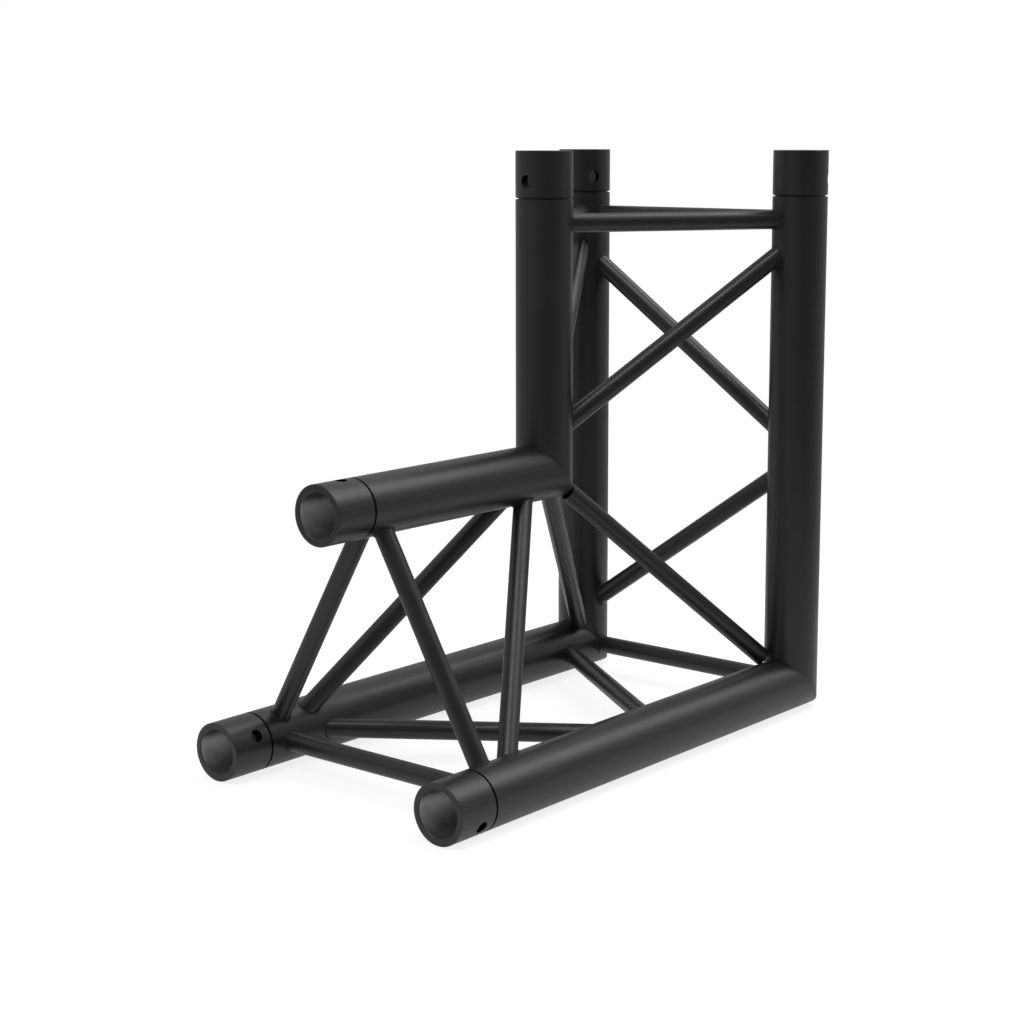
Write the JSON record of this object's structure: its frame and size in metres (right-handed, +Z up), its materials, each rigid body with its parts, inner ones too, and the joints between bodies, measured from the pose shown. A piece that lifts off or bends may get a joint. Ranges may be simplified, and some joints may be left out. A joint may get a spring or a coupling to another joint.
{
  "type": "truss corner section",
  "caption": "Right-angle corner of a triangular stage truss in black-coated tube, with zigzag braces and conical coupler sockets at both open ends.",
  "frame": {"origin": "on the ground under the middle of the section, which lies on the level leg's two base chords", "axes": "+X to the right, across the legs; -Y out of the level leg's open end; +Z up, out of the upright leg's open end"},
  "size_m": [0.287, 0.5, 0.5],
  "materials": {
    "chord_tube": "satin",
    "receiver": "satin",
    "brace_tube": "satin"
  },
  "bodies": {
    "root": {"level_left_chord": "chord_tube", "level_left_receiver": "receiver", "level_right_chord": "chord_tube", "level_right_receiver": "receiver", "level_apex_chord": "chord_tube", "level_apex_receiver": "receiver", "level_left_rung": "brace_tube", "level_right_rung": "brace_tube", "level_base_rung": "brace_tube", "level_left_diagonal": "brace_tube", "level_right_diagonal": "brace_tube", "level_base_outer_diagonal": "brace_tube", "level_base_inner_diagonal": "brace_tube", "upright_left_chord": "chord_tube", "upright_left_receiver": "receiver", "upright_right_chord": "chord_tube", "upright_right_receiver": "receiver", "upright_apex_chord": "chord_tube", "upright_apex_receiver": "receiver", "upright_left_rung": "brace_tube", "upright_right_rung": "brace_tube", "upright_base_rung": "brace_tube", "upright_left_diagonal": "brace_tube", "upright_right_diagonal": "brace_tube", "upright_base_outer_diagonal": "brace_tube", "upright_base_inner_diagonal": "brace_tube", "corner_left_brace": "brace_tube", "corner_right_brace": "brace_tube", "corner_base_brace": "brace_tube"}
  },
  "joints": []
}
